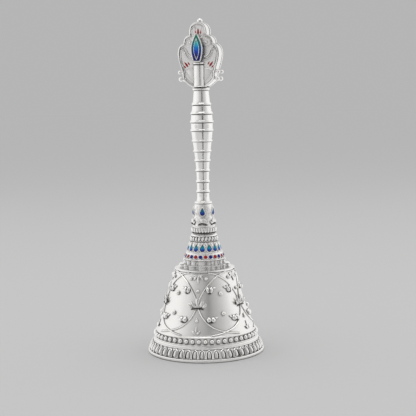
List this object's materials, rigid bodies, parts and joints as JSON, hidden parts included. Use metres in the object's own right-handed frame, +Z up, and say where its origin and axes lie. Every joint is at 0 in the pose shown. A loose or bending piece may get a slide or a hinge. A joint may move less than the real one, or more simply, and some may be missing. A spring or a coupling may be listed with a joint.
{
  "type": "ritual handbell",
  "caption": "Silver ritual handbell with a flared bell, lotus ornament, enamelled collars, a ringed grip, a flame-jewel finial and a clapper on a swivel eye.",
  "frame": {"origin": "centre of the circle that the rim's foot rests on", "axes": "+Z up the handle, -Y towards the front lotus column"},
  "size_m": [0.073, 0.073, 0.207],
  "materials": {
    "satin_silver": "satin silver, darkened in the recesses",
    "bright_silver": "polished silver",
    "inner_steel": "turned steel",
    "clapper_brass": "aged brass",
    "teal_enamel": "gloss fired enamel, green to blue",
    "navy_enamel": "gloss fired enamel, blue",
    "red_enamel": "gloss fired enamel, red"
  },
  "bodies": {
    "bell": {"bell_shell": "satin_silver", "plinth_lower": "satin_silver", "plinth_upper": "satin_silver", "jewel_collar": "satin_silver", "drop_collar": "satin_silver", "lotus_ring": "satin_silver", "gadroon_ring": "satin_silver", "knop": "satin_silver", "handle_grip": "satin_silver", "top_ferrule": "satin_silver", "finial_front_plate": "satin_silver", "finial_back_plate": "satin_silver", "lotus_boss_1": "bright_silver", "lotus_boss_2": "bright_silver", "lotus_boss_3": "bright_silver", "lotus_boss_4": "bright_silver", "lotus_boss_5": "bright_silver", "finial_band": "bright_silver", "finial_tip": "bright_silver", "pilaster_front": "bright_silver", "pilaster_back": "bright_silver", "flame_setting_front": "bright_silver", "flame_setting_back": "bright_silver", "tie_rod": "inner_steel", "crown_washer": "inner_steel", "crown_nut": "inner_steel", "swivel_cap": "inner_steel", "finial_socket": "inner_steel", "collar_drop_01": "teal_enamel", "collar_drop_02": "teal_enamel", "collar_drop_03": "teal_enamel", "collar_drop_04": "teal_enamel", "collar_drop_05": "teal_enamel", "collar_drop_06": "teal_enamel", "collar_drop_07": "teal_enamel", "collar_drop_08": "teal_enamel", "collar_drop_09": "teal_enamel", "collar_drop_10": "teal_enamel", "collar_drop_11": "teal_enamel", "collar_drop_12": "teal_enamel", "collar_drop_13": "teal_enamel", "collar_drop_14": "teal_enamel", "collar_drop_15": "teal_enamel", "flame_heart_front": "teal_enamel", "flame_heart_back": "teal_enamel", "knop_drop_1": "navy_enamel", "knop_drop_2": "navy_enamel", "knop_drop_3": "navy_enamel", "knop_drop_4": "navy_enamel", "knop_drop_5": "navy_enamel", "flame_ring_front": "navy_enamel", "flame_ring_back": "navy_enamel"},
    "swivel": {"swivel_eye": "inner_steel"},
    "clapper": {"clapper_rod": "clapper_brass", "clapper_ball": "clapper_brass"}
  },
  "joints": [
    {"name": "clapper_swivel", "type": "hinge", "parent": "bell", "child": "swivel", "pos_m": [0, 0, 0.0425], "axis": [0, 0, 1], "continuous": true},
    {"name": "clapper_swing", "type": "hinge", "parent": "swivel", "child": "clapper", "pos_m": [0, 0, 0.03655], "axis": [1, 0, 0], "range_deg": [-44, 44]}
  ]
}
